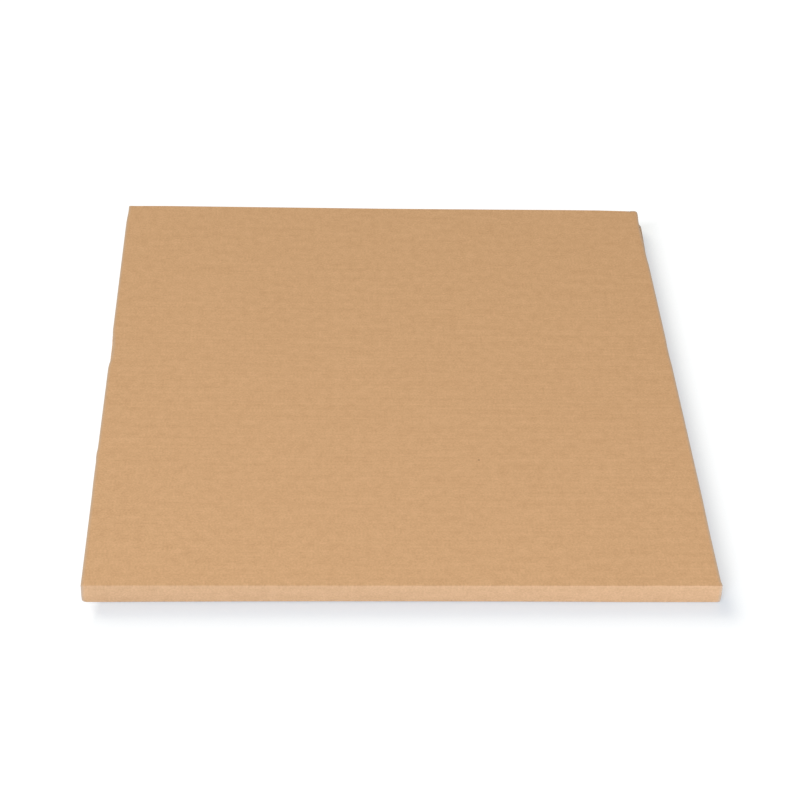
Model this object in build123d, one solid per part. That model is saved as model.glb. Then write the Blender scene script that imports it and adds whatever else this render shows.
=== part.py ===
from build123d import *
import os

# Record mailer box for one to three 12-inch records, closed and lying on its base.
# It is folded from one die-cut, creased sheet of kraft E-flute board. The lid is creased to the
# spine wall and tucks in behind the far wall. Two solids meet at the lid's crease: tray and lid.
# Millimetres. +X right along the spine, +Y from the spine to the tuck edge, +Z up.
# Origin: centre of the base, on the table.

# Outside of the closed box
width = 330.0
depth = 330.0
height = 13.2

# Board
board = 1.5
crease_inner = 0.3

# Room between layers
layer_gap = 0.2
tuck_gap = 0.4
relief_slot = 1.0

# Inner flaps, folded in under the lid from the side walls
flap_reach = 72.0
flap_taper = 9.0
flap_corner = 8.0

# Far wall's corner ears
ear_length = 38.0
ear_foot_gap = 0.6
ear_taper = 1.0
ear_corner = 1.6

# Side walls stop short of the far wall's face
wall_cutback = 14.0

# The right side wall springs outwards towards its far end, below the lid
flare = 2.25
flare_length = 36.0

# The spine wall's ends spread a little towards the table, and the left foot is rounded off
spread_left = 0.8
spread_right = 0.5
spread_height = 4.0
foot_corner_left = 2.5
foot_corner_right = 0.8

# Tuck flap
tuck_end_gap = 1.2
tuck_foot_gap = 0.7
tuck_taper = 3.0
tuck_corner = 4.0

# Lid's far shoulders, each side of the tuck flap, and their corners, the right one worn round
shoulder_setback = 1.1
lid_corner_left = 0.6
lid_corner_right = 2.0

# Derived: radii of the creases on the outside and through the middle of the board
crease_outer = crease_inner + board
crease_middle = crease_inner + board / 2

# Derived: planes through the middle of each panel
half_width = width / 2
half_depth = depth / 2
base_z = board / 2
lid_z = height - board / 2
spine_y = -half_depth + board / 2
far_y = half_depth - board / 2
side_x = half_width - board / 2
flap_z = lid_z - board - layer_gap
tuck_y = far_y - board - tuck_gap
ear_x = side_x - board - layer_gap

# Derived: edges of the panels
wall_top = flap_z + board / 2
wall_front = spine_y + board / 2 + relief_slot
wall_back = half_depth - wall_cutback
flare_start = wall_back - flare_length
far_wall_half = ear_x + board / 2 - crease_outer
ear_front = half_depth - ear_length
ear_bottom = board + ear_foot_gap
ear_top = flap_z - board / 2 - layer_gap
tuck_half = ear_x - board / 2 - tuck_end_gap
tuck_bottom = board + tuck_foot_gap
tuck_crease = tuck_y + board / 2 - crease_outer
shoulder_y = tuck_y + board / 2 - shoulder_setback


def slab(low, high):
    """A plain block between two corners, used to pick out a stretch of bent board."""
    size = [b - a for a, b in zip(low, high)]
    centre = [(a + b) / 2 for a, b in zip(low, high)]
    return Pos(*centre) * Box(*size)


def bent_board(plane, path):
    """Face of the board's cross-section, bent along the path that runs through its middle."""
    return plane * trace(path, board)


def outline(plane, points, radii, amount):
    """A plate cut to an outline with rounded corners, one radius for each point."""
    edge = FilletPolyline(*points, radius=radii, close=True)
    return extrude(plane * make_face(edge), amount=amount, both=True)


def hinge_arc(start):
    """The half of the spine-to-lid crease that begins at the given angle and ends at its mitre."""
    centre = (-half_depth + crease_outer, height - crease_outer)
    return CenterArc(centre, crease_middle, start, 135 - start)


def base_and_spine():
    """Spine wall, base and far wall: one strip, bent twice, then cut to each panel's width."""
    path = hinge_arc(180) + FilletPolyline(
        (spine_y, height - crease_outer),
        (spine_y, base_z),
        (far_y, base_z),
        (far_y, wall_top),
        radius=crease_middle,
    )
    strip = extrude(bent_board(Plane.YZ, path), amount=width, both=True)

    spine = strip & slab((-width, -half_depth, 0), (width, wall_front, height))
    left_foot = -half_width - spread_left
    right_foot = half_width + spread_right
    front_view = [
        (-half_width, height),
        (left_foot, spread_height),
        (left_foot, 0),
        (right_foot, 0),
        (right_foot, spread_height),
        (half_width, height),
    ]
    corners = [0, spread_height / 4, foot_corner_left, foot_corner_right, spread_height / 4, 0]
    spine &= outline(Plane.XZ, front_view, corners, depth)

    base_half = half_width - crease_outer
    base = strip & slab((-base_half, wall_front, 0), (base_half, wall_back, board))
    far_crease = half_depth - crease_outer
    far_base_half = ear_x + board / 2
    base += strip & slab((-far_base_half, wall_back, 0), (far_base_half, far_crease, board))
    far_wall = strip & slab((-far_wall_half, far_crease, 0), (far_wall_half, half_depth, height))
    return spine + base + far_wall


def corner_ear():
    """Right-hand ear: the far wall's end, creased forward to lie inside the side wall."""
    path = FilletPolyline(
        (far_wall_half - board, far_y),
        (ear_x, far_y),
        (ear_x, ear_front),
        radius=crease_middle,
    )
    floor = Plane.XY.offset(ear_bottom)
    ear = extrude(bent_board(floor, path), amount=ear_top - ear_bottom)
    crease_y = half_depth - crease_outer
    side_view = [
        (half_depth, ear_bottom),
        (crease_y, ear_bottom),
        (ear_front, ear_bottom + ear_taper),
        (ear_front, ear_top - ear_taper),
        (crease_y, ear_top),
        (half_depth, ear_top),
    ]
    nose = ear_top - ear_bottom - 2 * ear_taper
    corner = min(ear_corner, 0.4 * nose)
    return ear & outline(Plane.YZ, side_view, [0, 0, corner, corner, 0, 0], width)


def side_section(y, lean):
    """Section through the right side wall at y: crease, wall and inner flap, leaning out by lean."""
    path = FilletPolyline(
        (half_width - crease_outer - board, base_z),
        (side_x, base_z),
        (side_x + lean, flap_z),
        (half_width - flap_reach, flap_z),
        radius=crease_middle,
    )
    return bent_board(Plane.XZ.offset(-y), path)


def trim_flap(side):
    """Cut the inner flap's two ends to their taper, with its free corners rounded."""
    crease_x = half_width - crease_outer
    free_x = half_width - flap_reach
    plan = [
        (width, wall_front),
        (crease_x, wall_front),
        (free_x, wall_front + flap_taper),
        (free_x, wall_back - flap_taper),
        (crease_x, wall_back),
        (width, wall_back),
    ]
    return side & outline(Plane.XY, plan, [0, 0, flap_corner, flap_corner, 0, 0], height)


def left_side():
    """Left side wall with its inner flap."""
    wall = extrude(side_section(wall_back, 0), amount=wall_back - wall_front)
    return mirror(trim_flap(wall), about=Plane.YZ)


def right_side():
    """Right side wall with its inner flap, its far end sprung outwards."""
    straight = extrude(side_section(flare_start, 0), amount=flare_start - wall_front)
    sprung = loft([side_section(flare_start, 0), side_section(wall_back, flare)])
    return trim_flap(straight + sprung)


def tray():
    """Everything below the lid's crease."""
    ear = corner_ear()
    return base_and_spine() + left_side() + right_side() + ear + mirror(ear, about=Plane.YZ)


def lid():
    """Lid panel, cut straight at its two shoulders, with the tuck flap creased down between them."""
    panel_path = hinge_arc(90) + Line((-half_depth + crease_outer, lid_z), (tuck_crease, lid_z))
    panel = extrude(bent_board(Plane.YZ, panel_path), amount=half_width, both=True)
    for low, high in ((-half_width, -tuck_half), (tuck_half, half_width)):
        panel += slab((low, tuck_crease, height - board), (high, shoulder_y, height))
    plan = [
        (-half_width, -depth),
        (half_width, -depth),
        (half_width, shoulder_y),
        (-half_width, shoulder_y),
    ]
    panel &= outline(Plane.XY, plan, [0, 0, lid_corner_right, lid_corner_left], 2 * height)

    flap_path = FilletPolyline(
        (tuck_crease - board, lid_z),
        (tuck_y, lid_z),
        (tuck_y, tuck_bottom),
        radius=crease_middle,
    )
    flap = extrude(bent_board(Plane.YZ, flap_path), amount=half_width, both=True)
    crease_z = height - crease_outer
    foot_half = tuck_half - tuck_taper
    flap_view = [
        (-tuck_half, height),
        (-tuck_half, crease_z),
        (-foot_half, tuck_bottom),
        (foot_half, tuck_bottom),
        (tuck_half, crease_z),
        (tuck_half, height),
    ]
    return panel + (flap & outline(Plane.XZ, flap_view, [0, 0, tuck_corner, tuck_corner, 0, 0], depth))


os.makedirs("parts", exist_ok=True)
for name, shape in {"tray": tray(), "lid": lid()}.items():
    export_step(shape, f"parts/{name}.step")
    print(name, round(shape.volume, 1), shape.bounding_box())
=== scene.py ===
from math import ceil, floor, pi, radians

import bpy
import numpy as np
from mathutils import Euler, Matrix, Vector

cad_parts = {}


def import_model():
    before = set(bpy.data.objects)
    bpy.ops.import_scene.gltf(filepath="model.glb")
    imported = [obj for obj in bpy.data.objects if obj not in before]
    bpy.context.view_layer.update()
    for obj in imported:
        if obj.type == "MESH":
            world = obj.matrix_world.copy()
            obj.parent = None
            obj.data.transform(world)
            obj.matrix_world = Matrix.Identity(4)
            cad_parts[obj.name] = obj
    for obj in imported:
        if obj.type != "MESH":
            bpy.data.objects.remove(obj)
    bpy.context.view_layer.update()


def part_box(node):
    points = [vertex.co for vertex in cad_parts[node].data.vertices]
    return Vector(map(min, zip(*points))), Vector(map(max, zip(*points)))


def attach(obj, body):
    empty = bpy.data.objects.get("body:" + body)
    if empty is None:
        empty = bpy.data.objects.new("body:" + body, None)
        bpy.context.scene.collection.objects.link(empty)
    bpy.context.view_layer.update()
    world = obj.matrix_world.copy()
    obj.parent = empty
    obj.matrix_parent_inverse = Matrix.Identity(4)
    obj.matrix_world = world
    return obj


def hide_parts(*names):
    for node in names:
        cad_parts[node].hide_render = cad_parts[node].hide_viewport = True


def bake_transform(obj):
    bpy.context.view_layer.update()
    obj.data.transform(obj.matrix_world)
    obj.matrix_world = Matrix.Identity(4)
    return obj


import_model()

# Record mailer box: one die-cut blank of kraft E-flute board, creased and folded up.
# Each layer of paper is laid out flat on the blank, in millimetres: u runs along the flutes and
# across the box, v from the tuck flap through the lid, the spine and the base to the far wall, and
# w through the board from its outer face. The creases then fold it to its place in the frame.
MM = 0.001

# Sizes from the frame
lid_low, lid_high = (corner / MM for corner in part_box("lid"))
tray_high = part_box("tray")[1] / MM
half_width = lid_high.x
half_depth = tray_high.y
height = lid_high.z
tuck_bottom = lid_low.z
tuck_face = lid_high.y
sprung = tray_high.x - half_width

# Board, creases and gaps, as in the solids
board = 1.5
crease_inner = 0.3
layer_gap = 0.2
relief_slot = 1.0
wall_cutback = 14.0
flap_reach = 72.0
flap_taper = 9.0
flap_corner = 8.0
ear_length = 38.0
ear_foot_gap = 0.6
ear_taper = 1.0
ear_corner = 1.6
tuck_end_gap = 1.2
tuck_taper = 3.0
tuck_corner = 4.0
shoulder_setback = 1.1
lid_corner_left = 0.6
lid_corner_right = 2.0
foot_corner_left = 2.5
foot_corner_right = 0.8
flare_length = 36.0

# Papers and flutes: the liner sinks by washboard between the flutes' tips. The board loses the
# share crush of its thickness along its creases, and the share pinch at a cut edge. The die's slit
# frees the tuck flap from the lid's shoulders.
liner = 0.2
medium = 0.16
flute_pitch = 3.0
glue_overlap = 0.01
washboard = 0.03
crush = 0.35
pinch = 0.3
pinch_reach = 1.5
tuck_slit = 0.2

# Wear of the lid: the liner sunk into single flutes (y, depth), and its left and right edges set in
# or out (y, reach along y, how far out), which comes in over wear_start beyond the crease
sunk_flutes = [(82.8, 0.03), (36.8, 0.04), (-27.1, 0.03), (-43.8, 0.04)]
left_edge_wear = [
    (165.0, 16.0, -0.55),
    (70.0, 125.0, -0.26),
    (20.0, 12.5, -1.1),
    (-69.0, 4.0, 0.3),
    (-84.0, 14.0, 0.15),
]
right_edge_wear = [
    (161.0, 6.0, 0.3),
    (141.0, 13.0, -0.3),
    (118.0, 10.0, -0.28),
    (22.0, 9.0, -0.24),
    (-142.0, 32.0, -0.3),
]
wear_start = 3.0

# Wear of the tray: the crease's ends stand out, the spine spreads towards the table and its foot is
# bowed up, the far wall is pressed down, and the left wall is dented (y, reach, depth). The sprung
# right wall leans out along a curve of that power, and its top crease has dipped.
crease_out_left = 0.0
crease_out_right = 0.25
spread_left = 0.2
spread_right = 0.7
spread_height = 6.0
spine_bow = 0.7
spine_bow_middle = -25.0
spine_bow_half = 145.0
spine_bow_reach = 60.0
far_wall_drop = 0.7
left_wall_dent = (20.0, 12.5, 0.43)
sprung_curve = 0.6
sprung_dip = 1.2

# How square each crease is pressed: 0 is round, and just under 1 a square corner. The tuck crease
# is round on the left half and pressed square towards the right end.
spine_foot_square = 0.4
lid_crease_square = 0.85
tuck_square = (0.12, 0.97)
tuck_square_x = (8.0, 120.0)

# Columns of the grids: shares of the way in from the spine's ends and along an inner flap, the way
# in from the lid's edges, and places across the base and the lid
spine_end_steps = (0, 0.25, 0.6)
flap_steps = (0.5, 0.98, 0.99, 1)
lid_edge_columns = (0, 0.4, 0.9, 1.6)
base_middle = np.linspace(-120, 120, 7)
lid_middle = np.linspace(-140, 140, 15)

# Room that takes in the whole of a board's thickness, and the angle in degrees from which an edge
# is drawn sharp
slack = 0.05
sharp_angle = 50

# Kraft paper's patterns. Its pulp lies in flocs about 5 mm across. Its fibres are 0.03 mm wide, a
# twentieth of a pixel, so their grain is drawn coarser, at 1.1 mm, to show. The glue under the liner
# takes unevenly, in streaks 45 mm long and about a flute wide. Each pattern has its share, and their
# sum takes the paper from its dark colour at darkest to its light one at lightest.
floc_size = 5.0
grain_size = 1.1
streak_size = (45.0, 4.0, 45.0)
floc_share = 0.25
grain_share = 0.62
streak_share = 0.13
darkest = 0.36
lightest = 0.64

# Fibres stand up by 0.02 mm, and the press has laid most of them flat
fibre_rise = 0.02
fibre_bump = 0.3

# Marks: the cut edges are drawn greyer, partly rubbing and partly painted shade, and one fleck is on the
# lid
rub_and_shade_reach = 1.7
rub_and_shade_share = 0.85
rub_and_shade_grey = "#BEAA96"
fleck_x = 44.8
fleck_y = -71.9
fleck_radius = 0.9
fleck_share = 0.6
fleck_brown = "#8F6A42"

# Derived: edges of the panels
crease_outer = crease_inner + board
crease_middle = crease_inner + board / 2
wall_top = height - board - layer_gap
wall_rise = wall_top - crease_outer - board / 2
wall_front = -half_depth + board + relief_slot
wall_back = half_depth - wall_cutback
ear_face = half_width - board - layer_gap
ear_front = half_depth - ear_length
ear_bottom = board + ear_foot_gap
ear_top = wall_top - board - layer_gap
far_wall_half = ear_face - crease_outer
tuck_half = ear_face - board - tuck_end_gap
shoulder_slit = tuck_half + tuck_slit

# Derived: the lid's left shoulder is set back as in the solid, and the right one has worn outwards
shoulder_left = tuck_face - shoulder_setback
shoulder_right = tuck_face

# Derived: the blank
bend = pi / 2 * crease_middle
base_edge = half_depth - crease_outer
side_edge = half_width - crease_outer
lid_crease = -(base_edge + bend + height - 2 * crease_outer)
lid_start = lid_crease - bend
tuck_crease_y = tuck_face - crease_outer
tuck_crease = lid_start - (tuck_crease_y + base_edge)
tuck_start = tuck_crease - bend
tuck_end = tuck_start - (height - crease_outer - tuck_bottom)
far_top = base_edge + bend + wall_top - far_wall_drop - crease_outer
flap_crease = side_edge + bend + wall_top - 2 * crease_outer
flap_start = flap_crease + bend
flap_end = flap_start + flap_reach - crease_outer
ear_start = far_wall_half + bend
ear_end = ear_start + half_depth - crease_outer - ear_front
flute_rise = (board - 2 * liner - medium) / 2 + glue_overlap
inner_columns = [-far_wall_half, *base_middle, far_wall_half]
base_columns = [-side_edge, *inner_columns, side_edge]

# A crease is the axis that it crosses, 0 for u or 1 for v, and where it starts. A panel's folds
# are its creases in order, the outermost on the blank first.
spine_crease = (1, -base_edge)
far_crease = (1, base_edge)
lid_folds = [(1, lid_crease), spine_crease]
tuck_folds = [(1, tuck_crease), *lid_folds]


def to_lid(y):
    """v of a place on the lid from its y in the frame, or the other way round."""
    return lid_start - base_edge - y


def fold(points, axis, start):
    """Turn up by a right angle what lies beyond a crease."""
    side = np.sign(start)
    past = side * points[:, axis] - abs(start)
    turn = np.clip(past, 0, bend) / crease_middle
    rest = np.maximum(past - bend, 0)
    reach = crease_outer - points[:, 2]
    along = start + side * (np.sin(turn) * reach + np.cos(turn) * rest)
    up = crease_outer - np.cos(turn) * reach + np.sin(turn) * rest
    beyond = past > 0
    points[beyond, axis] = along[beyond]
    points[beyond, 2] = up[beyond]


def pressed(points, creases, cut_away):
    """Thin the board along its creases, from the inside, and towards its cut edges, from both."""
    for axis, start in creases:
        middle = start + np.sign(start) * bend / 2
        near = np.clip(1 - abs(points[:, axis] - middle) / bend, 0, 1)
        points[:, 2] *= 1 - crush * near * near * (3 - 2 * near)
    near = np.clip(1 - cut_away / pinch_reach, 0, 1)
    points[:, 2] += (board / 2 - points[:, 2]) * pinch * near * near


def squared(points, crease_y, crease_z, out, up, share):
    """Pull the round of a crease towards a square corner. Its round starts at crease_y and
    crease_z, and lies on the side of them that out and up say; share is a number or one each.
    The round becomes a superellipse, of the power that puts its middle that share of the way from
    the circle to the corner."""
    across = np.maximum((points[:, 1] - crease_y) * out, 0)
    above = np.maximum((points[:, 2] - crease_z) * up, 0)
    inside = (across > 0) & (above > 0)
    share = np.broadcast_to(share, inside.shape)[inside]
    power = 1 / (0.5 - np.log2(1 + (2 ** 0.5 - 1) * share))
    across = across[inside]
    above = above[inside]
    reach = np.hypot(across, above)
    stretch = ((across / reach) ** power + (above / reach) ** power) ** (-1 / power) - 1
    points[inside, 1] += out * across * stretch
    points[inside, 2] += up * above * stretch


def up_wall(z):
    """How far up a side wall a point is: 0 in the base and 1 at the wall's top crease."""
    return np.clip((z - board / 2) / wall_rise, 0, 1)


def nick(y, middle, reach):
    """The depth of a nick along y: 1 in its middle, with soft ends."""
    return np.exp(-((y - middle) / reach) ** 4)


def spring_right_wall(points):
    """Lean the right wall's far end out, with its inner flap, and dip its top crease."""
    x, y, z = points.T.copy()
    lean = sprung * np.clip((y - wall_back) / flare_length + 1, 0, 1) ** sprung_curve
    in_flap = np.clip((x - half_width + flap_reach) / (flap_reach - 2 * board), 0, 1)
    on_wall = x > half_width - board - slack
    on_flap = (x > 0) & (z > wall_top - board - slack)
    on_side = (on_wall | on_flap) & (z <= wall_top) & (y <= wall_back + slack)
    moved = on_side * up_wall(z)
    at_crease = np.clip((x - side_edge) / board, 0, 1)
    points[:, 0] += lean * in_flap * moved
    points[:, 2] -= sprung_dip * lean / sprung * at_crease * moved


def dent_left_wall(points):
    """Push the left wall in, below the lid's deepest nick."""
    x, y, z = points.T.copy()
    middle, reach, depth = left_wall_dent
    on_wall = np.clip((-side_edge - x) / board, 0, 1) * (z <= wall_top)
    points[:, 0] += depth * nick(y, middle, reach) * up_wall(z) * on_wall


def bow_spine(points):
    """Bow the spine's foot up off the table, and the base behind it."""
    x, y, z = points.T.copy()
    bow = np.clip(1 - ((x - spine_bow_middle) / spine_bow_half) ** 2, 0, 1)
    behind = np.clip(1 - (y + half_depth) / spine_bow_reach, 0, 1)
    low = np.clip(1 - z / (height - 2 * crease_outer), 0, 1)
    points[:, 2] += spine_bow * bow * behind * low


def worn(points):
    """Press the creases square and bend the walls as the photographed box's are."""
    crease_top = height - crease_outer
    squared(points, -base_edge, crease_outer, -1, -1, spine_foot_square)
    squared(points, -base_edge, crease_top, -1, 1, lid_crease_square)
    x = points[:, 0]
    tuck_share = np.interp(x, tuck_square_x, tuck_square) * (abs(x) < shoulder_slit)
    squared(points, tuck_crease_y, crease_top, 1, 1, tuck_share)
    spring_right_wall(points)
    dent_left_wall(points)
    bow_spine(points)


def rounded(*corners, steps=6):
    """A cut edge as points in order, its corners (a, b, radius) turned into arcs."""
    made = []
    for i, (a, b, radius) in enumerate(corners):
        corner = np.array((a, b), float)
        if not radius:
            made.append(corner)
            continue
        before = np.array(corners[i - 1][:2]) - corner
        after = np.array(corners[i + 1][:2]) - corner
        before = before / np.linalg.norm(before)
        after = after / np.linalg.norm(after)
        half = np.arccos(before @ after) / 2
        reach = radius / np.tan(half)
        for f in np.linspace(0, 1, steps + 1):
            shares = np.array([(1 - f) ** 2, 2 * np.sin(half) * f * (1 - f), f * f])
            ends = np.stack([corner + before * reach, corner, corner + after * reach])
            made.append(shares @ ends / shares.sum())
    return np.array(made).T


def rows(start, end, per_flute, *lines):
    """v of each row of a grid: a number for each flute, and the lines that a shape needs."""
    step = flute_pitch / per_flute
    start = round(float(start), 4)
    end = round(float(end), 4)
    wanted = sorted({round(float(v), 4) for v in (start, end, *lines)})
    wanted = [v for v in wanted if start <= v <= end]
    regular = np.arange(ceil(start / step), floor(end / step) + 1) * step
    clear = [v for v in regular if min(abs(v - w) for w in wanted) > step / 4]
    return np.array(sorted([*wanted, *clear]))


def bend_lines(start, steps):
    """Lines across a bend, on the side of the blank that start is on."""
    return list(start + np.sign(start) * np.linspace(0, bend, steps + 1))


def patch(v, columns, folds, creases=(), cut=""):
    """A panel of the blank: rows v and columns u, each a number or an array along v. It gets its
    own folds, the creases of its neighbours, and cut edges: low and high along v, left and right."""
    u = np.stack([np.broadcast_to(c, v.shape) for c in columns], axis=1)
    v = np.broadcast_to(v[:, None], u.shape)
    away = {"low": v - v[0], "high": v[-1] - v, "left": u - u[:, :1], "right": u[:, -1:] - u}
    furthest = np.full(u.shape, half_width)
    cut_away = np.min([furthest, *(away[edge] for edge in cut.split())], axis=0)
    return u, v, cut_away, folds, [*folds, *creases]


def outer_liner(v, side):
    """v and w of the outer liner's outer (0) or inner (1) surface: it sags between its glue lines."""
    sag = washboard * (1 + np.cos(2 * pi * v / flute_pitch)) / 2
    for y, depth in sunk_flutes:
        sag = sag + depth * np.exp(-((v - to_lid(y)) / (flute_pitch / 3)) ** 2)
    return v, sag + liner * side


def inner_liner(v, side):
    """v and w of the inner liner's outer (0) or inner (1) surface."""
    sag = washboard * (1 - np.cos(2 * pi * v / flute_pitch)) / 2
    return v, board - sag - liner * (1 - side)


def fluting(v, side):
    """v and w of the fluted medium's surfaces, half its thickness each side of the wave."""
    phase = 2 * pi * v / flute_pitch
    slope = -flute_rise * 2 * pi / flute_pitch * np.sin(phase)
    square = np.sqrt(1 + slope * slope)
    half = medium * (side - 0.5)
    return v - half * slope / square, board / 2 + flute_rise * np.cos(phase) + half / square


def folded(panel, surface, side):
    """One surface of a panel's paper, pressed, folded and worn: its points in the frame, and their
    u, v, w and way from a cut edge on the blank."""
    u, v, cut_away, folds, creases = panel
    moved_v, w = surface(v.ravel(), side)
    points = np.stack([u.ravel(), moved_v, w], axis=1)
    pressed(points, creases, cut_away.ravel())
    blank = np.stack([u.ravel(), v.ravel(), points[:, 2], cut_away.ravel()], axis=1)
    for axis, start in folds:
        fold(points, axis, start)
    worn(points)
    return points, blank


def layer(patches, surface):
    """One paper of the board as a closed shell, welded where panels meet: its points, their places
    on the blank, its faces, and which of them are rims."""
    points, blank, cells = [], [], []
    for panel in patches:
        first = sum(len(p) for p in points)
        panel_points, panel_blank = zip(*(folded(panel, surface, side) for side in (0, 1)))
        points.append(np.stack(panel_points, axis=1))
        blank.append(np.stack(panel_blank, axis=1))
        index = first + np.arange(panel[0].size).reshape(panel[0].shape)
        corners = index[:-1, :-1], index[:-1, 1:], index[1:, 1:], index[1:, :-1]
        cells.append(np.stack([c.ravel() for c in corners], axis=1))
    points = np.concatenate(points)
    blank = np.concatenate(blank)

    # Points in the same place on the blank, to a thousandth of a millimetre, are one
    place = np.round(blank[:, 0, :2], 3)
    _, kept, weld = np.unique(place, axis=0, return_index=True, return_inverse=True)
    cells = weld.ravel()[np.concatenate(cells)]
    points = points[kept]
    blank = blank[kept]

    # A cell's edge that no other cell shares gets a rim, from the outer surface to the inner one
    edges = np.concatenate([np.roll(cells, -k, axis=1)[:, :2] for k in range(4)])
    ends = np.sort(edges, axis=1)
    _, where, count = np.unique(ends, axis=0, return_inverse=True, return_counts=True)
    a, b = edges[count[where.ravel()] == 1].T
    above = len(points)
    rims = np.stack([a, b, b + above, a + above], axis=1)
    faces = np.concatenate([cells[:, ::-1], cells + above, rims])
    is_rim = np.arange(len(faces)) >= 2 * len(cells)
    return points.swapaxes(0, 1).reshape(-1, 3), blank.swapaxes(0, 1).reshape(-1, 4), faces, is_rim


def piece(name, patches, surfaces, materials):
    """A named mesh of one or more layers, with its place on the blank kept for its materials."""
    points, blank, faces, is_rim = [], [], [], []
    for surface in surfaces:
        paper_points, paper_blank, paper_faces, paper_rims = layer(patches, surface)
        faces.append(paper_faces + sum(len(p) for p in points))
        points.append(paper_points)
        blank.append(paper_blank)
        is_rim.append(paper_rims)
    blank = np.concatenate(blank).astype(np.float32)
    mesh = bpy.data.meshes.new(name)
    mesh.from_pydata(np.concatenate(points) * MM, [], np.concatenate(faces).tolist())
    sheet = mesh.attributes.new("sheet", "FLOAT_VECTOR", "POINT")
    sheet.data.foreach_set("vector", blank[:, :3].ravel())
    cut_away = mesh.attributes.new("cut_away", "FLOAT", "POINT")
    cut_away.data.foreach_set("value", blank[:, 3])
    for material in materials:
        mesh.materials.append(material)
    if len(materials) > 1:
        mesh.polygons.foreach_set("material_index", np.concatenate(is_rim).astype(np.int32))
    mesh.shade_smooth()
    mesh.set_sharp_from_angle(angle=radians(sharp_angle))
    mesh.validate()
    made = bpy.data.objects.new(name, mesh)
    bpy.context.scene.collection.objects.link(made)
    return made


def linear(code):
    """A colour's sRGB hex as linear RGBA."""
    parts = [int(code[i:i + 2], 16) / 255 for i in (1, 3, 5)]
    return [p / 12.92 if p <= 0.04045 else ((p + 0.055) / 1.055) ** 2.4 for p in parts] + [1]


def add(tree, kind, inputs=None, **settings):
    """Add a node: settings are its properties, and inputs its sockets, values or links."""
    made = tree.nodes.new(kind)
    for name, value in settings.items():
        setattr(made, name, value)
    for socket, value in (inputs or {}).items():
        if isinstance(value, bpy.types.NodeSocket):
            tree.links.new(value, made.inputs[socket])
        else:
            made.inputs[socket].default_value = value
    return made


def new_material(name):
    """An empty node material and its tree."""
    material = bpy.data.materials.new(name)
    material.use_nodes = True
    material.node_tree.nodes.clear()
    return material, material.node_tree


def pulp(tree, sheet):
    """How light the paper is from place to place, and the grain of its fibres."""
    floc = add(tree, "ShaderNodeTexNoise", {"Vector": sheet, "Scale": 1 / floc_size, "Detail": 2})
    grain = add(tree, "ShaderNodeTexNoise", {
        "Vector": sheet,
        "Scale": 1 / grain_size,
        "Detail": 3,
        "Roughness": 0.6,
    }).outputs["Fac"]
    stretched = add(tree, "ShaderNodeVectorMath", {
        0: sheet,
        1: [1 / size for size in streak_size],
    }, operation="MULTIPLY").outputs["Vector"]
    streak = add(tree, "ShaderNodeTexNoise", {"Vector": stretched, "Scale": 1, "Detail": 2})
    shade = 0
    for pattern, share in (
        (floc.outputs["Fac"], floc_share),
        (grain, grain_share),
        (streak.outputs["Fac"], streak_share),
    ):
        shade = add(tree, "ShaderNodeMath", {0: pattern, 1: share, 2: shade}, operation="MULTIPLY_ADD")
        shade = shade.outputs[0]
    shade = add(tree, "ShaderNodeMapRange", {
        "Value": shade,
        "From Min": darkest,
        "From Max": lightest,
    }).outputs[0]
    return shade, grain


def marks_and_edge_shade(tree, sheet, colour):
    """The paper's colour with its greyer edges, partly rubbed and partly painted shade, and its fleck.
    """
    cut_away = add(tree, "ShaderNodeAttribute", attribute_name="cut_away").outputs["Fac"]
    fleck_place = (fleck_x, to_lid(fleck_y), 0)
    from_fleck = add(tree, "ShaderNodeVectorMath", {0: sheet, 1: fleck_place}, operation="DISTANCE")
    for away, full, clear, share, mark in (
        # Cut edges: greyer towards the edge, partly rubbing and partly painted shade where the edge
        # curves down
        (cut_away, 0, rub_and_shade_reach, rub_and_shade_share, rub_and_shade_grey),
        (from_fleck.outputs["Value"], fleck_radius / 2, fleck_radius, fleck_share, fleck_brown),
    ):
        amount = add(tree, "ShaderNodeMapRange", {
            "Value": away,
            "From Min": full,
            "From Max": clear,
            "To Min": share,
            "To Max": 0,
        }).outputs[0]
        colour = add(tree, "ShaderNodeMix", {
            "Factor": amount,
            6: colour,
            7: linear(mark),
        }, data_type="RGBA").outputs[2]
    return colour


def kraft_paper(name, dark, light, roughness):
    """Uncoated kraft paper: cloudy brown pulp with fine fibres, matt. The shader's own IOR, 1.5, is
    about that of its cellulose."""
    material, tree = new_material(name)
    sheet = add(tree, "ShaderNodeAttribute", attribute_name="sheet").outputs["Vector"]
    shade, grain = pulp(tree, sheet)
    colour = add(tree, "ShaderNodeMix", {
        "Factor": shade,
        6: linear(dark),
        7: linear(light),
    }, data_type="RGBA").outputs[2]
    fibres = add(tree, "ShaderNodeBump", {
        "Height": grain,
        "Distance": fibre_rise * MM,
        "Strength": fibre_bump,
    })
    paper = add(tree, "ShaderNodeBsdfPrincipled", {
        "Base Color": marks_and_edge_shade(tree, sheet, colour),
        "Roughness": roughness,
        "Normal": fibres.outputs["Normal"],
    })
    add(tree, "ShaderNodeOutputMaterial", {"Surface": paper.outputs["BSDF"]})
    return material


# Unbleached kraft liner, dried and pressed smooth on the paper machine: warm brown, softly cloudy
# and matt, with no coat to shine.
kraft_liner = kraft_paper("machine_finished_kraft_liner", "#C49B70", "#D8AF84", 0.8)

# The liner's edge as the die's steel rule left it: broken fibres, a little greyer and quite dull.
cut_edge = kraft_paper("die_cut_kraft_edge", "#BC9870", "#D0AC84", 0.9)

# Fluting medium, formed between hot corrugating rolls: a darker, duller brown than the liner's, seen
# only in the open ends of the flutes.
fluting_paper = kraft_paper("corrugated_fluting_medium", "#A8845C", "#BC986C", 0.9)


# Tray

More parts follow.
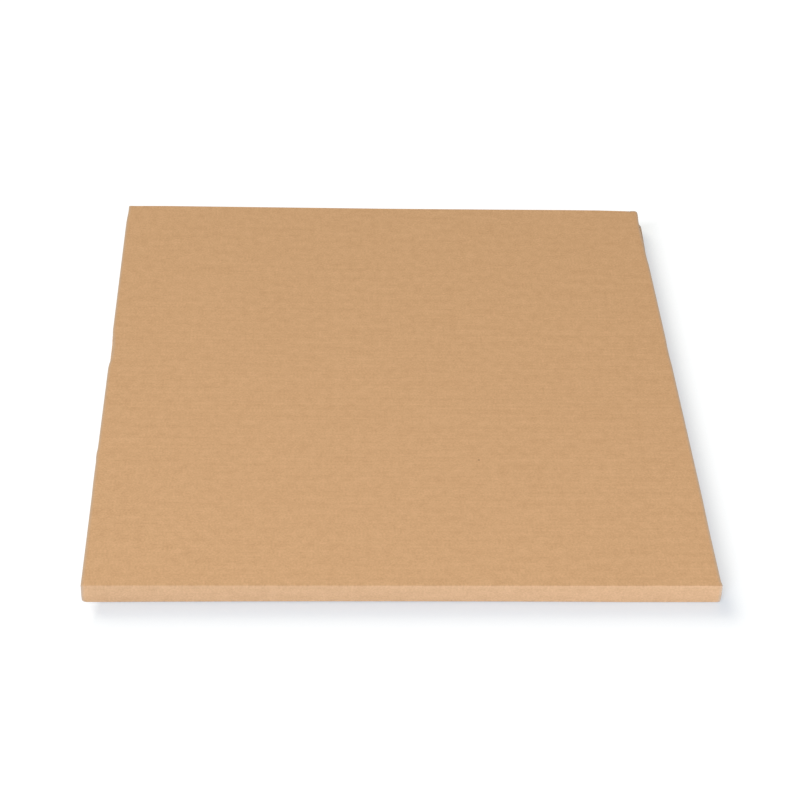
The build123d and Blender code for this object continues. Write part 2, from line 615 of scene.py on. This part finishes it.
def spine_edge(v, top, foot, corner):
    """Half width of the spine wall along v: it spreads towards the table, its foot rounded off."""
    outside = np.stack([np.zeros_like(v), v, np.zeros_like(v)], axis=1)
    fold(outside, *spine_crease)
    line_z, line_u = rounded(
        (0, foot - corner, 0),
        (0, foot, corner),
        (spread_height, foot, 0),
        (height - crease_outer, top, 0),
    )
    return np.interp(outside[:, 2], line_z, line_u)


def spine_patch(per_flute, steps):
    """The spine wall, with the strip of base in front of the side walls."""
    v = rows(lid_crease, wall_front, per_flute, *bend_lines(-base_edge, steps))
    left_top = half_width + crease_out_left
    left = -spine_edge(v, left_top, half_width + spread_left, foot_corner_left)
    right_top = half_width + crease_out_right
    right = spine_edge(v, right_top, half_width + spread_right, foot_corner_right)
    near_left = [left + (-side_edge - left) * f for f in spine_end_steps]
    near_right = [right + (side_edge - right) * f for f in spine_end_steps]
    columns = [*near_left, *base_columns, *near_right[::-1]]
    return patch(v, columns, [spine_crease], [(1, lid_crease)], "left right")


def side_patch(side, per_flute, steps, flap_steps):
    """A side wall and its inner flap; side is 1 on the right and -1 on the left."""
    line_v, line_u = rounded(
        (wall_front, flap_start, 0),
        (wall_front + flap_taper, flap_end, flap_corner),
        (wall_back - flap_taper, flap_end, flap_corner),
        (wall_back, flap_start, 0),
    )
    v = rows(wall_front, wall_back, per_flute, *line_v)
    free = np.interp(v, line_v, line_u)
    columns = [*bend_lines(side_edge, steps), *bend_lines(flap_crease, steps)]
    columns += [flap_start + (free - flap_start) * f for f in flap_steps]
    columns = [side * c for c in columns]
    folds = [(0, side * flap_crease), (0, side * side_edge)]
    if side > 0:
        return patch(v, columns, folds, cut="low high right")
    return patch(v, columns[::-1], folds, cut="low high left")


def ear_patch(side, per_flute, steps):
    """A corner ear on the far wall's end, and the rows that its shape needs."""
    to_v = base_edge + bend - crease_outer
    line_v, line_u = rounded(
        (to_v + ear_bottom, ear_start, 0),
        (to_v + ear_bottom + ear_taper, ear_end, ear_corner),
        (to_v + ear_top - ear_taper, ear_end, ear_corner),
        (to_v + ear_top, ear_start, 0),
    )
    v = rows(line_v[0], line_v[-1], per_flute, *line_v)
    free = np.interp(v, line_v, line_u)
    columns = [side * c for c in (*bend_lines(far_wall_half, steps), free)]
    folds = [(0, side * far_wall_half), far_crease]
    if side > 0:
        return patch(v, columns, folds, cut="right"), line_v
    return patch(v, columns[::-1], folds, cut="left"), line_v


def tray_patches(per_flute, steps, flap_steps):
    """Every panel below the lid's crease."""
    right_ear, ear_lines = ear_patch(1, per_flute, steps)
    left_ear, ear_lines = ear_patch(-1, per_flute, steps)
    sides = [side_patch(side, per_flute, steps, flap_steps) for side in (1, -1)]
    side_creases = [(0, side_edge), (0, -side_edge)]
    # The base has the side walls' rows, so that the two weld
    side_v = sides[0][1][:, 0]
    far_base_v = rows(wall_back, base_edge, per_flute)
    far_v = rows(base_edge, far_top, per_flute, *bend_lines(base_edge, steps), *ear_lines)
    ear_creases = [(0, far_wall_half), (0, -far_wall_half)]
    return [
        spine_patch(per_flute, steps),
        patch(side_v, base_columns, [], [spine_crease, far_crease, *side_creases]),
        *sides,
        patch(far_base_v, base_columns, [], [far_crease], "left right"),
        patch(far_v, inner_columns, [far_crease], ear_creases, "high"),
        right_ear,
        left_ear,
    ]


liners = [outer_liner, inner_liner]
papers = [kraft_liner, cut_edge]
tray_panels = tray_patches(per_flute=4, steps=6, flap_steps=flap_steps)
tray_liners = piece("tray_liners", tray_panels, liners, papers)
tray_panels = tray_patches(per_flute=12, steps=4, flap_steps=flap_steps[1:])
tray_fluting = piece("tray_fluting", tray_panels, [fluting], [fluting_paper])
for made in (tray_liners, tray_fluting):
    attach(made, "tray")
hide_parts("tray")


# Lid

def lid_sides(v):
    """Columns near the left and right cut edges of the lid and its crease, along v."""
    y = to_lid(v)
    sides = []
    for shoulder_y, corner, wear, crease_out in (
        (shoulder_left, lid_corner_left, left_edge_wear, crease_out_left),
        (shoulder_right, lid_corner_right, right_edge_wear, crease_out_right),
    ):
        line_y, line_u = rounded(
            (-height - half_depth, half_width, 0),
            (shoulder_y, half_width, corner),
            (shoulder_y, 0, 0),
        )
        fade = np.clip((y + base_edge + bend) / wear_start, 0, 1)
        edge = np.interp(y, line_y[:-1], line_u[:-1]) + (1 - fade) * crease_out
        for middle, reach, out in wear:
            edge = edge + fade * out * nick(y, middle, reach)
        sides.append(edge)
    left, right = sides
    return [d - left for d in lid_edge_columns], [right - d for d in lid_edge_columns[::-1]]


def lid_lines():
    """Rows that the lid's corners and its worn edges need."""
    lines = []
    for shoulder_y, corner in ((shoulder_left, lid_corner_left), (shoulder_right, lid_corner_right)):
        lines += [to_lid(shoulder_y - corner * f) for f in np.linspace(0, 1, 7) ** 2]
    for middle, reach, _ in (*left_edge_wear, *right_edge_wear):
        lines += [to_lid(middle + reach * k / 2) for k in range(-4, 5)]
    return lines


def lid_patches(per_flute, steps):
    """The lid, its two shoulders and its tuck flap."""
    creases = [(1, tuck_crease)]
    v = rows(tuck_crease, lid_start, per_flute, *lid_lines())
    left, right = lid_sides(v)
    columns = [*left, -shoulder_slit, -tuck_half, *lid_middle, tuck_half, shoulder_slit, *right]
    made = [patch(v, columns, lid_folds, creases, "left right")]
    v = rows(to_lid(shoulder_left), tuck_crease, per_flute, *lid_lines())
    left, right = lid_sides(v)
    made.append(patch(v, [*left, -shoulder_slit], lid_folds, creases, "low left"))
    v = rows(to_lid(shoulder_right), tuck_crease, per_flute, *lid_lines())
    left, right = lid_sides(v)
    made.append(patch(v, [shoulder_slit, *right], lid_folds, creases, "low right"))

    line_v, line_u = rounded(
        (tuck_end, 0, 0),
        (tuck_end, tuck_half - tuck_taper, tuck_corner),
        (tuck_start, tuck_half, 0),
        (tuck_crease, tuck_half, 0),
    )
    v = rows(tuck_end, tuck_crease, per_flute, *bend_lines(tuck_crease, steps), *line_v)
    edge = np.interp(v, line_v[1:], line_u[1:])
    made.append(patch(v, [-edge, *lid_middle, edge], tuck_folds, cut="low left right"))
    return made


lid_liners = piece("lid_liners", lid_patches(per_flute=8, steps=12), liners, papers)
lid_fluting = piece("lid_fluting", lid_patches(per_flute=12, steps=6), [fluting], [fluting_paper])
for made in (lid_liners, lid_fluting):
    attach(made, "lid")
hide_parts("lid")


# Crease between the spine and the lid

def crease_patch(per_flute, steps):
    """The bend between the spine and the lid."""
    v = rows(lid_start, lid_crease, per_flute, *bend_lines(lid_crease, steps))
    left, right = lid_sides(v)
    return patch(v, [*left, *inner_columns[1:-1], *right], lid_folds, cut="left right")


crease_liners = piece("crease_liners", [crease_patch(per_flute=4, steps=12)], liners, papers)
crease_panel = crease_patch(per_flute=12, steps=12)
crease_fluting = piece("crease_fluting", [crease_panel], [fluting], [fluting_paper])
for made in (crease_liners, crease_fluting):
    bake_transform(made)


# Table. The box's shadow on it is the lamps' own, mixed with plain white: shadow_depth is how much
# of the shadow is left against the box, and it fades out over shadow_far, sooner beside the box.
# It also fades between the two places given along x at the left, and along y at the back. The
# white is drawn a little past white, so that no trace of the shadow is left where it ends.
table_reach = 3000
table_drop = 0.2
table_white = "#E6F0F9"
table_glow = 1.12
shadow_far = 38.0
shadow_squeeze = (1.3, 1.0, 0.0)
shadow_left = (-149.0, -164.0)
shadow_back = (150.0, 176.0)
shadow_depth = 0.67
shadow_end_white = 0.85


def white_table():
    """White laminate, pressed matt: an even white that takes the box's soft shadow."""
    material, tree = new_material("matt_pressed_white_laminate")
    place = add(tree, "ShaderNodeNewGeometry").outputs["Position"]
    beyond = add(tree, "ShaderNodeVectorMath", {0: place}, operation="ABSOLUTE").outputs[0]
    for operation, value in (
        ("SUBTRACT", (half_width * MM, half_depth * MM, 0)),
        ("MAXIMUM", (0, 0, 0)),
        ("MULTIPLY", shadow_squeeze),
    ):
        beyond = add(tree, "ShaderNodeVectorMath", {0: beyond, 1: value}, operation=operation).outputs[0]
    away = add(tree, "ShaderNodeVectorMath", {0: beyond}, operation="LENGTH").outputs["Value"]
    fade = add(tree, "ShaderNodeMapRange", {
        "Value": away,
        "From Min": 0,
        "From Max": shadow_far * MM,
        "To Min": 1 - shadow_depth,
        "To Max": 1,
    })
    sides = add(tree, "ShaderNodeSeparateXYZ", {0: place}).outputs
    for axis, (full, clear) in (("X", shadow_left), ("Y", shadow_back)):
        end = add(tree, "ShaderNodeMapRange", {
            "Value": sides[axis],
            "From Min": full * MM,
            "From Max": clear * MM,
            "To Min": 0,
            "To Max": shadow_end_white,
        }, interpolation_type="SMOOTHSTEP")
        fade = add(tree, "ShaderNodeMath", {0: fade.outputs[0], 1: end.outputs[0]}, operation="MAXIMUM")
    lit = add(tree, "ShaderNodeBsdfDiffuse", {"Color": linear(table_white)})
    white = add(tree, "ShaderNodeEmission", {"Strength": table_glow})
    seen = add(tree, "ShaderNodeMixShader", {0: fade.outputs[0], 1: lit.outputs[0], 2: white.outputs[0]})
    ray = add(tree, "ShaderNodeLightPath").outputs["Is Camera Ray"]
    both = add(tree, "ShaderNodeMixShader", {0: ray, 1: lit.outputs[0], 2: seen.outputs[0]})
    add(tree, "ShaderNodeOutputMaterial", {"Surface": both.outputs[0]})
    return material


def table():
    """The plain white table, a hair below the box."""
    mesh = bpy.data.meshes.new("table")
    around = ((-1, -1), (1, -1), (1, 1), (-1, 1))
    corners = [(x * table_reach * MM, y * table_reach * MM, -table_drop * MM) for x, y in around]
    mesh.from_pydata(corners, [], [(0, 1, 2, 3)])
    mesh.materials.append(white_table())
    made = bpy.data.objects.new("table", mesh)
    bpy.context.scene.collection.objects.link(made)


# Light and camera. A softbox is aimed at the box: turn is in degrees from the front towards the
# right, rise in degrees from the table, and distance and size in metres. The camera's place is in
# millimetres and its turns are in degrees, as the photograph's.
world_strength = 0.25
camera_place = (-56.109, -782.327, 699.424)
camera_turns = (47.9385, -2.4848, -2.2082)
camera_lens = 80.69


def soft_light(name, turn, rise, distance, size, watts, colour):
    """A square softbox aimed at the box."""
    lamp = bpy.data.lights.new(name, "AREA")
    lamp.size = size
    lamp.energy = watts
    lamp.color = linear(colour)[:3]
    made = bpy.data.objects.new(name, lamp)
    made.rotation_euler = Euler((radians(90 - rise), 0, radians(turn)))
    made.location = made.rotation_euler.to_matrix() @ Vector((0, 0, distance))
    bpy.context.scene.collection.objects.link(made)


def world():
    """A weak even light, white where the camera sees it."""
    made = bpy.data.worlds.new("studio")
    made.use_nodes = True
    tree = made.node_tree
    tree.nodes.clear()
    ray = add(tree, "ShaderNodeLightPath").outputs["Is Camera Ray"]
    dim = add(tree, "ShaderNodeBackground", {"Strength": world_strength})
    white = add(tree, "ShaderNodeBackground", {"Color": linear("#FFFFFF"), "Strength": 1})
    both = add(tree, "ShaderNodeMixShader", {0: ray, 1: dim.outputs[0], 2: white.outputs[0]})
    add(tree, "ShaderNodeOutputWorld", {"Surface": both.outputs[0]})
    bpy.context.scene.world = made


table()
world()
soft_light("back_key", turn=-140, rise=40, distance=10, size=5, watts=735, colour="#FFF1D7")
soft_light("front_softbox", turn=-25, rise=22, distance=2, size=0.7, watts=14.9, colour="#EAEEFE")
soft_light("low_card", turn=40, rise=6, distance=1.6, size=0.5, watts=15.0, colour="#EAEEFE")
soft_light("top_fill", turn=-5, rise=60, distance=1.3, size=0.6, watts=3.2, colour="#FFFFFF")

camera = bpy.data.cameras.new("camera")
camera.sensor_width = 36
camera.lens = camera_lens
camera.clip_start = 0.05
camera.clip_end = 20
viewer = bpy.data.objects.new("camera", camera)
viewer.location = Vector(camera_place) * MM
viewer.rotation_euler = Euler([radians(turn) for turn in camera_turns])
bpy.context.scene.collection.objects.link(viewer)
bpy.context.scene.camera = viewer

bpy.context.scene.view_settings.view_transform = "Standard"
